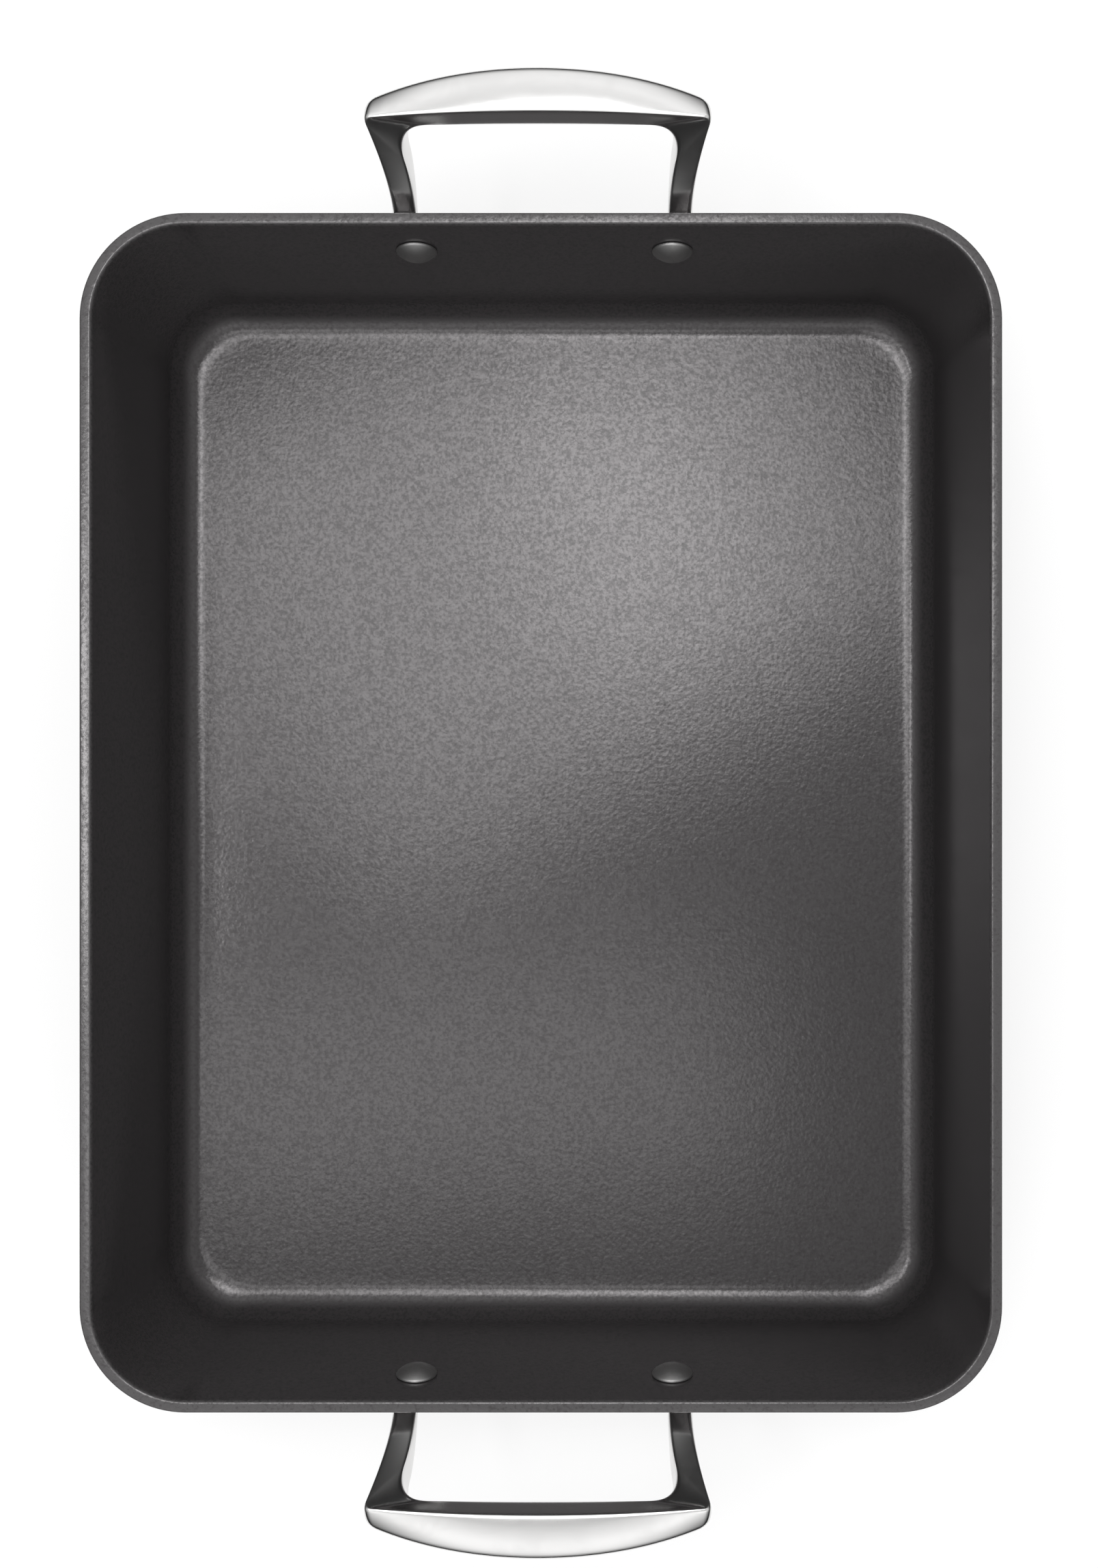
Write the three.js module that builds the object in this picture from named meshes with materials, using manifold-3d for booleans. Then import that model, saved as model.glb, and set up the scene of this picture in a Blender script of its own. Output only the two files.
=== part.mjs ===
// Roasting pan: a deep rectangular pan pressed from one sheet, with a cast loop handle
// riveted to each short wall. Millimetres, +Z up. The origin is the middle of the base,
// the long side lies along Y, and the rear handle is at +Y.

import * as THREE from "three";
import { mergeVertices } from "three/addons/utils/BufferGeometryUtils.js";
import Module from "manifold-3d";

const wasm = await Module();
wasm.setup();

// Driving dimensions of the pan
const rimLength = 351;
const rimWidth = 270;
const panHeight = 70;
const sheet = 3.5; // thickness of the pressed sheet, walls and floor alike
const wallLean = 8.5; // degrees that the walls lean outwards
const rimCorner = 31; // corner radius in plan at the outside of the rim
const floorCorner = 17; // corner radius in plan where the flat floor begins
const floorFillet = 10; // inside radius between wall and floor
const rimInnerEdge = 0.9; // rounding of the flat rim, inside
const rimOuterEdge = 0.6; // the same, outside

// Driving dimensions of the rivets
const rivetInset = 11.5; // tip of the handle in to the axis of its rivet
const rivetDrop = 18.5; // rim top down to the rivet axis
const rivetHeadDiameter = 12.4;
const rivetHeadDome = 2.6;
const rivetShankDiameter = 6;
const rivetTailDiameter = 9.6;
const rivetTailDome = 1.9;
const rivetEdge = 0.5; // upright edge round the head and the tail

// Driving dimensions of the handle's mounting tabs
const tabThickness = 3;
const tabLand = 4.7; // tab showing round the tail of its rivet
const tabMargin = 0.7; // tab showing beside the root of its leg
const tabBevel = 0.8;

// Driving dimensions of the handle's legs
const legRootOffset = 2.1; // root of a leg outwards from its rivet, along the wall
const legRootOverTail = 1.1; // tail of the rivet up to the underside of the root
const legRootWidth = 5.4;
const legRootHeight = 4.6;
const legTopWidth = 8.4;
const legThickness = 9; // at the top, square to its upper face
const legPitch = 44; // degrees, slope of the upper face at the top
const legFlank = 1.6; // how far the lower face reaches into the finger gap
const upperSweep = 1.5; // how far the upper face runs out before it climbs
const lowerSweep = 8; // the same for the lower face

// Driving dimensions of the handle's grip
const handleReach = 37.5; // rim to the outer edge of the grip
const handleSpan = 100; // tip to tip
const gripDepth = 13.3; // crease to outer edge, at the middle
const tipDepth = 5.5; // crease to outer edge, at the tips
const tipFall = 2; // crease down to outer edge, at the tips
const gripRise = 16; // crease of the grip above the rim
const gripFace = 8; // height of the face on the pan side, at the middle
const gripFaceLean = 1.5; // lower edge of that face towards the pan, at the middle
const gripFaceEnd = 4; // height of that face at the ends
const gripFaceEndLean = 1; // lower edge of that face towards the pan, at the ends
const gripBelly = 11; // crease down to the underside
const gripBellyOut = 6.8; // crease out to the lowest line of the underside
const outerDrop = 0.8; // the same, at the middle
const tipDrop = 1; // ends of the crease below its middle
const creaseBow = 1.5; // middle of the crease outwards from its ends

// Roundings of the handle, on a leg and at the middle of the grip
const legEdge = { foot: 1.3, crease: 1.1, outer: 1.6, under: 1.8 };
const gripEdge = { foot: 1.5, crease: 0.9, outer: 1.6, under: 3.4 };
const legBulge = { face: 0, crown: 0.4, back: 0.8, flank: 0.2 };
const gripBulge = { face: 0, crown: 0.45, back: 1.8, flank: 0.6 };
const gapFillet = 11; // cut-back of the edges round the corner of the finger gap
const tipFillet = 2.4; // the same at the tip of the crease
const outerFillet = 6; // the same round the outside of the tip

// Clearances
const seat = 0.3; // between faces that bear on each other
const rivetClearance = 0.3; // all round a shank in its holes

// Steps of the round stretches
const cornerSteps = 8;
const filletSteps = 6;
const rimSteps = 4;
const rivetSides = 18;
const domeSteps = 4;
const tabSides = 16;
const crownSides = 6;
const bevelSteps = 2;
const legSteps = 7;
const bendSteps = 5;
const gripSteps = 8;
const edgeSteps = 3;
const sideSteps = { face: 2, crown: 5, back: 4, flank: 2 };

// Values that follow from the driving dimensions
const halfSheet = sheet / 2;
const lean = THREE.MathUtils.degToRad(wallLean);
const pitch = THREE.MathUtils.degToRad(legPitch);
const rimCore = halfSheet - rimOuterEdge;
const rimInset = rimOuterEdge + rimCore * (Math.cos(lean) + (1 + Math.sin(lean)) * Math.tan(lean));
const rivetSpacing = handleSpan - 2 * rivetInset;
const tabBack = halfSheet + seat; // measured from the middle of the wall's sheet
const tabFront = tabBack + tabThickness;
const tabRadius = rivetTailDiameter / 2 + tabLand;
const legRootClimb = rivetTailDiameter / 2 + legRootOverTail; // rivet axis to the underside of a root
const legRootTop = legRootClimb + legRootHeight;

// Solids and cuts

/** Turns a closed geometry into a solid that can be joined and cut. */
function solidOf(geometry) {
  const bare = new THREE.BufferGeometry();
  bare.setAttribute("position", geometry.getAttribute("position").clone());
  if (geometry.index) bare.setIndex(geometry.index.clone());
  const merged = mergeVertices(bare);
  const vertProperties = new Float32Array(merged.getAttribute("position").array);
  const triVerts = new Uint32Array(merged.index.array);
  return new wasm.Manifold(new wasm.Mesh({ numProp: 3, vertProperties, triVerts }));
}

/** Turns a solid back into a geometry. */
function geometryOf(solid) {
  const mesh = solid.getMesh();
  const geometry = new THREE.BufferGeometry();
  geometry.setAttribute("position", new THREE.BufferAttribute(mesh.vertProperties, mesh.numProp));
  geometry.setIndex(new THREE.BufferAttribute(mesh.triVerts, 1));
  geometry.computeVertexNormals();
  return geometry;
}

/** Skins a row of rings with equal counts of points, and closes both ends with a fan. */
function skin(rings) {
  const count = rings[0].length;
  const points = rings.flat();
  const faces = [];
  rings.slice(1).forEach((_, row) => {
    for (let i = 0; i < count; i += 1) {
      const next = (i + 1) % count;
      const a = row * count + i;
      const b = row * count + next;
      faces.push(a, b, b + count, a, b + count, a + count);
    }
  });
  [rings[0], rings.at(-1)].forEach((ring, end) => {
    const middle = ring.reduce((sum, p) => sum.add(p), new THREE.Vector3()).divideScalar(count);
    const hub = points.push(middle) - 1;
    const first = end * (rings.length - 1) * count;
    for (let i = 0; i < count; i += 1) {
      const here = first + i;
      const next = first + ((i + 1) % count);
      faces.push(hub, ...(end ? [here, next] : [next, here]));
    }
  });
  const geometry = new THREE.BufferGeometry().setFromPoints(points);
  geometry.setIndex(faces);
  return geometry;
}

// Pan body

/** Middle line of the sheet from rim to floor, with the tilt of its inner face and its corner radius. */
function sheetLine() {
  const top = panHeight - halfSheet;
  const bend = floorFillet + halfSheet;
  const bendHeight = sheet + floorFillet;
  const fall = (top + bend * Math.sin(lean) - bendHeight) / Math.cos(lean);
  const bendInset = rimInset + fall * Math.sin(lean) + bend * Math.cos(lean);
  const pointAt = (inset, height, tilt) => {
    const share = (inset - rimInset) / (bendInset - rimInset);
    return { inset, height, tilt, corner: THREE.MathUtils.lerp(rimCorner - rimInset, floorCorner, share) };
  };
  const line = [pointAt(rimInset, top, lean)];
  for (let step = 0; step <= filletSteps; step += 1) {
    const tilt = THREE.MathUtils.lerp(lean, Math.PI / 2, step / filletSteps);
    line.push(pointAt(bendInset - bend * Math.cos(tilt), bendHeight - bend * Math.sin(tilt), tilt));
  }
  return line;
}

/** Places a ring of the pan: a point of its section moved in the given direction, carried round the plan. */
function panRing(point, tilt, away) {
  const inset = point.inset + away * Math.cos(tilt);
  const height = point.height + away * Math.sin(tilt);
  const corner = point.corner - away * Math.cos(tilt);
  const ring = [];
  for (let quarter = 0; quarter < 4; quarter += 1) {
    const sideX = quarter === 0 || quarter === 3 ? 1 : -1;
    const sideY = quarter < 2 ? 1 : -1;
    const centreX = sideX * (rimWidth / 2 - inset - corner);
    const centreY = sideY * (rimLength / 2 - inset - corner);
    for (let step = 0; step <= cornerSteps; step += 1) {
      const turn = (quarter + step / cornerSteps) * (Math.PI / 2);
      const x = centreX + corner * Math.cos(turn);
      ring.push(new THREE.Vector3(x, centreY + corner * Math.sin(turn), height));
    }
  }
  return ring;
}

/** Rings of the rim from the outer face to the inner one: a flat top between two rounded edges. */
function rimRings(rim) {
  const edges = [
    { side: -1, radius: rimOuterEdge, from: lean + Math.PI, to: Math.PI / 2 },
    { side: 1, radius: rimInnerEdge, from: Math.PI / 2, to: lean },
  ];
  return edges.flatMap(({ side, radius, from, to }) => {
    const core = side * (halfSheet - radius);
    const climb = (Math.abs(core) - core * Math.sin(lean)) / Math.cos(lean);
    const inset = rim.inset - climb * Math.sin(lean) + core * Math.cos(lean);
    const centre = { inset, height: panHeight - radius, corner: rim.corner + rim.inset - inset };
    return Array.from({ length: rimSteps + 1 }, (_, step) =>
      panRing(centre, THREE.MathUtils.lerp(from, to, step / rimSteps), radius),
    );
  });
}

/** The pressed shell before it is drilled. */
function panShell() {
  const line = sheetLine();
  const outside = line.toReversed().map((point) => panRing(point, point.tilt, -halfSheet));
  const inside = line.map((point) => panRing(point, point.tilt, halfSheet));
  return skin([...outside, ...rimRings(line[0]), ...inside]);
}

// Places on the rear wall

/** Matrix of a rivet's place: the middle of the sheet, +Y square out of the wall, +Z up the wall. */
function wallPlace(x) {
  const drop = (rivetDrop - halfSheet) * Math.tan(lean);
  const place = new THREE.Object3D();
  place.position.set(x, rimLength / 2 - rimInset - drop, panHeight - rivetDrop);
  place.rotation.x = -lean;
  place.updateMatrix();
  return place.matrix;
}

/** A point given from the rim of the rear wall: across, outwards and upwards. */
function rimPoint(across, out, up) {
  return new THREE.Vector3(across, rimLength / 2 + out, panHeight + up);
}

/** Drills both rivet holes of the rear end, or of the front end with half a turn. */
function drilled(solid, turn) {
  const reach = 2 * (tabFront + sheet);
  const radius = rivetShankDiameter / 2 + rivetClearance;
  return [-1, 1].reduce((left, side) => {
    const drill = new THREE.CylinderGeometry(radius, radius, reach, rivetSides);
    drill.applyMatrix4(wallPlace((side * rivetSpacing) / 2)).rotateZ(turn);
    return left.subtract(solidOf(drill));
  }, solid);
}

// Handle casting

/** Points of an arc in the plane of a tab. */
function arcPoints(x, y, radius, from, to, steps) {
  return new THREE.EllipseCurve(x, y, radius, radius, from, to, to < from).getPoints(steps);
}

/** Outline of a mounting tab: round about its rivet, drawn up to a smaller round at the root of its leg. */
function tabOutline(side) {
  const crown = legRootWidth / 2 + tabMargin;
  const x = side * legRootOffset;
  const y = legRootTop - crown;
  const heading = Math.atan2(y, x);
  const spread = Math.acos((tabRadius - crown) / Math.hypot(x, y));
  return new THREE.Shape([
    ...arcPoints(x, y, crown, heading - spread, heading + spread, crownSides),
    ...arcPoints(0, 0, tabRadius, heading + spread, heading - spread + 2 * Math.PI, tabSides),
  ]);
}

/** One mounting tab, seated on the outside of the wall. */
function tabGeometry(side) {
  const tab = new THREE.ExtrudeGeometry(tabOutline(side), {
    depth: tabThickness - 2 * tabBevel,
    bevelThickness: tabBevel,
    bevelSize: tabBevel,
    bevelOffset: -tabBevel,
    bevelSegments: bevelSteps,
  });
  tab.translate(0, 0, tabBevel);
  tab.rotateX(Math.PI / 2);
  tab.translate(0, tabFront, 0);
  return tab.applyMatrix4(wallPlace((side * rivetSpacing) / 2));
}

/** An edge of the handle from the root of the right leg, round the corner, to the middle of the grip. */
function edgeRail(root, sweep, corner, middle, fillet) {
  const legPull = root.clone().add(new THREE.Vector3(0, sweep, 0));
  const gripPull = new THREE.Vector3(corner.x / 2, middle.y, middle.z);
  const towards = (point) => point.clone().sub(corner).setLength(fillet).add(corner);
  const bendStart = towards(legPull);
  const bendEnd = towards(gripPull);
  const curves = [
    new THREE.QuadraticBezierCurve3(root, legPull, bendStart),
    new THREE.QuadraticBezierCurve3(bendStart, corner, bendEnd),
    new THREE.QuadraticBezierCurve3(bendEnd, gripPull, middle),
  ];
  return (stretch, share) => curves[stretch].getPoint(share);
}

/** The four edges of the right half: foot and crease bound the upper face, outer and under the lower one. */
function edgeRails() {
  const place = wallPlace(rivetSpacing / 2);
  const rootOut = tabBack + tabBevel;
  const root = (side, up) => {
    const across = legRootOffset + (side * legRootWidth) / 2;
    return new THREE.Vector3(across, rootOut, up).applyMatrix4(place);
  };
  const creaseOut = handleReach - gripDepth;
  const endOut = creaseOut - creaseBow;
  const endUp = gripRise - tipDrop;
  const footUp = endUp - gripFaceEnd;
  const deep = legThickness * Math.cos(pitch);
  const back = legThickness * Math.sin(pitch);
  const tip = handleSpan / 2;
  const gapHalf = tip - legTopWidth;
  return {
    foot: edgeRail(
      root(-1, legRootTop),
      upperSweep,
      rimPoint(gapHalf, endOut - gripFaceEndLean, footUp),
      rimPoint(0, creaseOut - gripFaceLean, gripRise - gripFace),
      gapFillet,
    ),
    crease: edgeRail(
      root(1, legRootTop),
      upperSweep,
      rimPoint(tip, endOut, endUp),
      rimPoint(0, creaseOut, gripRise),
      tipFillet,
    ),
    outer: edgeRail(
      root(1, legRootClimb),
      lowerSweep,
      rimPoint(tip, endOut + tipDepth, endUp - tipFall),
      rimPoint(0, handleReach, gripRise - outerDrop),
      outerFillet,
    ),
    under: edgeRail(
      root(-1, legRootClimb),
      lowerSweep,
      rimPoint(gapHalf - legFlank, endOut + back, footUp - deep),
      rimPoint(0, creaseOut + gripBellyOut, gripRise - gripBelly),
      gapFillet,
    ),
  };
}

/** A cross-section: four corner points, their roundings, and the bulges of the sides that follow them. */
function sectionRing(corners, edges, bulges, steps) {
  const centre = corners.reduce((sum, p) => sum.add(p), new THREE.Vector3()).divideScalar(corners.length);
  const sides = corners.map((start, i) => {
    const run = corners[(i + 1) % corners.length].clone().sub(start);
    const away = start.clone().addScaledVector(run, 1 / 2).sub(centre);
    away.addScaledVector(run, -away.dot(run) / run.lengthSq()).normalize();
    const length = run.length();
    const at = (share) => {
      const bulge = 4 * bulges[i] * share * (1 - share);
      return start.clone().addScaledVector(run, share).addScaledVector(away, bulge);
    };
    return { at, from: edges[i] / length, to: 1 - edges[(i + 1) % edges.length] / length };
  });
  return sides.flatMap((side, i) => {
    const before = sides.at(i - 1);
    const rounding = new THREE.QuadraticBezierCurve3(before.at(before.to), corners[i], side.at(side.from));
    const points = rounding.getPoints(edgeSteps);
    for (let step = 1; step < steps[i]; step += 1) {
      points.push(side.at(THREE.MathUtils.lerp(side.from, side.to, step / steps[i])));
    }
    return points;
  });
}

/** The bent bar of the handle: both legs and the grip, lofted along its four edges. */
function handleBar() {
  const rails = Object.values(edgeRails());
  const steps = Object.values(sideSteps);
  const stations = [legSteps, bendSteps, gripSteps].flatMap((count, stretch) =>
    Array.from({ length: count }, (_, step) => ({ stretch, share: step / count })),
  );
  const half = stations.concat({ stretch: 2, share: 1 }).map(({ stretch, share }) => {
    const swell = THREE.MathUtils.smoothstep(stretch + share, 1, 3);
    const mix = (leg, grip) =>
      Object.keys(leg).map((name) => THREE.MathUtils.lerp(leg[name], grip[name], swell));
    const corners = rails.map((rail) => rail(stretch, share));
    return sectionRing(corners, mix(legEdge, gripEdge), mix(legBulge, gripBulge), steps);
  });
  const mirrored = half.map((ring) => ring.map((p) => new THREE.Vector3(-p.x, p.y, p.z)));
  return skin([...half, ...mirrored.slice(0, -1).reverse()]);
}

/** The whole casting: bar and tabs in one piece, drilled for its rivets. */
function handleGeometry() {
  const tabs = [-1, 1].map((side) => solidOf(tabGeometry(side)));
  const casting = tabs.reduce((joined, tab) => joined.add(tab), solidOf(handleBar()));
  return geometryOf(drilled(casting, 0));
}

// Rivets

/** Points of a shallow dome on a base at the given height, from the axis to its edge. */
function domePoints(radius, rise, base) {
  const ball = (radius ** 2 + rise ** 2) / (2 * rise);
  const reach = Math.asin(radius / ball);
  return Array.from({ length: domeSteps + 1 }, (_, step) => {
    const turn = (reach * step) / domeSteps;
    return new THREE.Vector2(ball * Math.sin(turn), base + rise - ball * (1 - Math.cos(turn)));
  });
}

/** A set rivet: domed head inside the pan, shank, and flattened tail on the handle's tab. */
function rivetGeometry() {
  const headSeat = tabBack;
  const tailSeat = tabFront + seat;
  const shank = rivetShankDiameter / 2;
  const head = domePoints(rivetHeadDiameter / 2, rivetHeadDome, headSeat + rivetEdge);
  const tail = domePoints(rivetTailDiameter / 2, rivetTailDome, tailSeat + rivetEdge);
  const profile = [
    ...head.map((p) => new THREE.Vector2(p.x, -p.y)),
    new THREE.Vector2(rivetHeadDiameter / 2, -headSeat),
    new THREE.Vector2(shank, -headSeat),
    new THREE.Vector2(shank, tailSeat),
    new THREE.Vector2(rivetTailDiameter / 2, tailSeat),
    ...tail.toReversed(),
  ];
  return new THREE.LatheGeometry(profile, rivetSides);
}

// Assembly

/** Polished steel of a handle or a rivet. */
function polishedSteel() {
  return new THREE.MeshStandardMaterial({ color: 0xc9c9cb, roughness: 0.16, metalness: 1 });
}

/** One end of the pan as seen on the rear wall: a handle and its two rivets. */
function handleEnd(end, rivetNames) {
  const group = new THREE.Group();
  const handle = new THREE.Mesh(handleGeometry(), polishedSteel());
  handle.name = `${end}_handle`;
  group.add(handle);
  [-1, 1].forEach((side, i) => {
    const rivet = new THREE.Mesh(rivetGeometry(), polishedSteel());
    rivet.name = rivetNames[i];
    rivet.applyMatrix4(wallPlace((side * rivetSpacing) / 2));
    group.add(rivet);
  });
  return group;
}

const roastingPan = new THREE.Group();
roastingPan.name = "roasting_pan";

const rear = handleEnd("rear", ["rear_left_rivet", "rear_right_rivet"]);
const front = handleEnd("front", ["front_right_rivet", "front_left_rivet"]);
front.rotation.z = Math.PI;

const shell = drilled(drilled(solidOf(panShell()), 0), Math.PI);
const coating = new THREE.MeshStandardMaterial({ color: 0x343335, roughness: 0.42, metalness: 0.3 });
const panBody = new THREE.Mesh(geometryOf(shell), coating);
panBody.name = "pan_body";

roastingPan.add(panBody, rear, front);

export default roastingPan;
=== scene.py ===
"""Looks of a deep roasting pan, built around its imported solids.

One pressed shell with a dark speckled non-stick coat, a cast loop handle on each short wall
and two rivets to each handle. Metres, in the frame of the solids: +Y points to the rear
handle, +Z up out of the pan, and the origin is the middle of the base.
"""

import logging
import math
from collections.abc import Sequence
from dataclasses import dataclass, field
from enum import Enum
from itertools import pairwise

import bmesh
import bpy
from mathutils import Matrix, Vector


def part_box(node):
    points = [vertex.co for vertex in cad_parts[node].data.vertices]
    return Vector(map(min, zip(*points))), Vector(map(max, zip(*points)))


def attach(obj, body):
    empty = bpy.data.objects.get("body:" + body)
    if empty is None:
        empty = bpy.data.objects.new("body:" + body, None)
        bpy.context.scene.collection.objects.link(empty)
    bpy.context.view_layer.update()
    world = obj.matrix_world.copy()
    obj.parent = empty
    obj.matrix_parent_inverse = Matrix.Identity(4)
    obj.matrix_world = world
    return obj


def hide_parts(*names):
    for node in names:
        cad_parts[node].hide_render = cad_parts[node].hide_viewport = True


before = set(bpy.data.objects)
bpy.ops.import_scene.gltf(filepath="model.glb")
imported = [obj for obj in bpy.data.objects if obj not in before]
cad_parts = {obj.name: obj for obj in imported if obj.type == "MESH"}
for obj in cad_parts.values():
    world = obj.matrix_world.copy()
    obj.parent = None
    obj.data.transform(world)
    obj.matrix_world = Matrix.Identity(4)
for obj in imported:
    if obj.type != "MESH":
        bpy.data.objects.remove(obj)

LOG = logging.getLogger("roasting_pan")
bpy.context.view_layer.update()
BODY = "root"
MM = 0.001
HAIR = 0.001 * MM  # closer points are one, and a finer mesh stays this far inside its box
BOX_SLACK = 0.02  # share by which a finer mesh may differ from that box
ROUND = 0.5  # profile of a bevel that follows a circle

Colour = tuple[float, float, float, float]
Place = tuple[float, float, float]
Span = tuple[float, float]
Mesh = bmesh.types.BMesh
Loop = list[bmesh.types.BMEdge]
Piece = bpy.types.Object
Tree = bpy.types.NodeTree
Socket = bpy.types.NodeSocket


class End(Enum):
    """The short wall that a handle is riveted to, as a turn about the pan's upright axis."""

    REAR = 0.0
    FRONT = math.pi

    @property
    def label(self) -> str:
        """The word that the names of this end's pieces begin with."""
        return self.name.lower()

    @property
    def turn(self) -> Matrix:
        """The matrix that carries a piece from the rear wall to this end."""
        return Matrix.Rotation(self.value, 4, "Z")


class Side(Enum):
    """The side of the pan's middle line that a rivet is on, seen from above."""

    LEFT = -1
    RIGHT = 1

    def on_wall(self, end: End) -> int:
        """Gives the same side as it lies on the rear wall, before the end is turned into place."""
        return self.value if end is End.REAR else -self.value


class Stretch(Enum):
    """The stretches of a handle's edge, from its root to the middle of the grip."""

    LEG = 0
    BEND = 1
    GRIP = 2


# Mesh tools


def bezier(points: Sequence[Vector], share: float) -> Vector:
    """Finds the point at a share of a curve that is given by its start, pull point and end."""
    start, pull, end = points
    return start.lerp(pull, share).lerp(pull.lerp(end, share), share)


def mix(low: float, high: float, share: float) -> float:
    """Mixes two values by a share from 0 to 1."""
    return low + (high - low) * share


def ease(share: float) -> float:
    """Eases a share from 0 to 1 in and out."""
    return share ** 2 * (3 - 2 * share)


def hump(share: float) -> float:
    """Gives the height of a hump at a share of its length: 0 at both ends, 1 in the middle."""
    return 4 * share * (1 - share)


def closed_loop(bm: Mesh, points: Sequence[Vector]) -> Loop:
    """Draws a closed loop of edges through points, and gives its edges."""
    verts = [bm.verts.new(point) for point in points]
    return [bm.edges.new(pair) for pair in pairwise([*verts, verts[0]])]


def skin_loops(bm: Mesh, loops: Sequence[Loop]) -> None:
    """Skins a row of edge loops, each to the next."""
    for first, second in pairwise(loops):
        bmesh.ops.bridge_loops(bm, edges=first + second)


def spread_loops(bm: Mesh, loops: Sequence[Loop], gap: float) -> None:
    """Moves each loop upwards by its number in the row times a gap.

    Args:
        bm: Mesh of the loops.
        loops: Edge loops in order.
        gap: Distance between neighbours; the same distance below zero brings them back.
    """
    for number, loop in enumerate(loops):
        verts = list({vert for edge in loop for vert in edge.verts})
        bmesh.ops.translate(bm, vec=(0, 0, number * gap), verts=verts)


def arc(
    bm: Mesh, centre: Vector, start: Vector, angle: float, steps: int
) -> list[bmesh.types.BMVert]:
    """Sweeps a vertex round a centre in the plane of X and Z.

    Args:
        bm: Mesh that takes the arc.
        centre: Centre of the arc.
        start: First point of the arc.
        angle: Angle of the sweep, from +X towards +Z where it is positive.
        steps: Number of edges in the arc.

    Returns:
        The vertices of the arc in order.
    """
    first = bm.verts.new(start)
    before = set(bm.verts)
    bmesh.ops.spin(
        bm, geom=[first], cent=centre, axis=(0, -1, 0), angle=angle, steps=steps, use_merge=False
    )
    swept = [vert for vert in bm.verts if vert not in before]
    turn = math.copysign(1, angle)
    from_start = (start - centre).normalized()

    def along(vert: bmesh.types.BMVert) -> float:
        """Gives the angle of a vertex along the sweep."""
        ray = (vert.co - centre).normalized()
        across = from_start.x * ray.z - from_start.z * ray.x
        return (turn * math.atan2(across, from_start.dot(ray))) % math.tau

    return [first, *sorted(swept, key=along)]


def round_off(bm: Mesh, geom: list, offset: float, steps: int, affect: str) -> None:
    """Rounds edges, or the corners of a flat outline.

    Args:
        bm: Mesh under work.
        geom: Edges or vertices to round.
        offset: How far the rounding reaches.
        steps: Number of segments in it.
        affect: EDGES or VERTICES.
    """
    bmesh.ops.bevel(
        bm, geom=geom, offset=offset, offset_type="OFFSET", segments=steps, profile=ROUND,
        affect=affect, material=-1,
    )


def fit_box(bm: Mesh, node: str) -> None:
    """Scales a finer shape by the hair's breadth that brings it just inside the box of its solid.

    Args:
        bm: Mesh in its final place.
        node: Name of the solid that the mesh stands for.
    """
    low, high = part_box(node)
    for axis in range(3):
        values = [vert.co[axis] for vert in bm.verts]
        factor = (high[axis] - low[axis] - 2 * HAIR) / (max(values) - min(values))
        if abs(factor - 1) > BOX_SLACK:
            raise ValueError(f"{node} differs from its solid by {factor:.4f} along axis {axis}")
        shift = Vector((0, 0, 0))
        shift[axis] = low[axis] + HAIR - min(values) * factor
        grow = Vector((1, 1, 1))
        grow[axis] = factor
        bmesh.ops.scale(bm, vec=grow, verts=bm.verts)
        bmesh.ops.translate(bm, vec=shift, verts=bm.verts)


def object_from(bm: Mesh, name: str) -> Piece:
    """Turns a mesh under work into an object of the scene, and frees it.

    Args:
        bm: Mesh in its final place.
        name: Name of the object.

    Returns:
        The object, at the origin.
    """
    mesh = bpy.data.meshes.new(name)
    bm.to_mesh(mesh)
    bm.free()
    piece = bpy.data.objects.new(name, mesh)
    bpy.context.scene.collection.objects.link(piece)
    return piece


def carve(piece: Piece, tool: Piece, operation: str) -> None:
    """Joins a tool to a piece or cuts it away, and removes the tool.

    Args:
        piece: Object whose mesh is replaced by the result.
        tool: Object to join or to cut with.
        operation: UNION or DIFFERENCE.
    """
    cut = piece.modifiers.new("carve", "BOOLEAN")
    cut.operation = operation
    cut.solver = "EXACT"
    cut.object = tool
    whole = piece.evaluated_get(bpy.context.evaluated_depsgraph_get())
    mesh = bpy.data.meshes.new_from_object(whole)
    piece.modifiers.clear()
    plain, piece.data = piece.data, mesh
    mesh.name = piece.name
    bpy.data.meshes.remove(plain)
    bpy.data.objects.remove(tool, do_unlink=True)


def smooth_shade(piece: Piece, crisp: float) -> None:
    """Shades a piece smooth, except along edges that turn by more than the crisp angle."""
    piece.data.shade_smooth()
    piece.data.set_sharp_from_angle(angle=crisp)


# Shared effects of the finishes


@dataclass(frozen=True)
class Noise:
    """Settings of a noise pattern."""

    detail: float
    roughness: float
    distortion: float = 0.0


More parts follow.
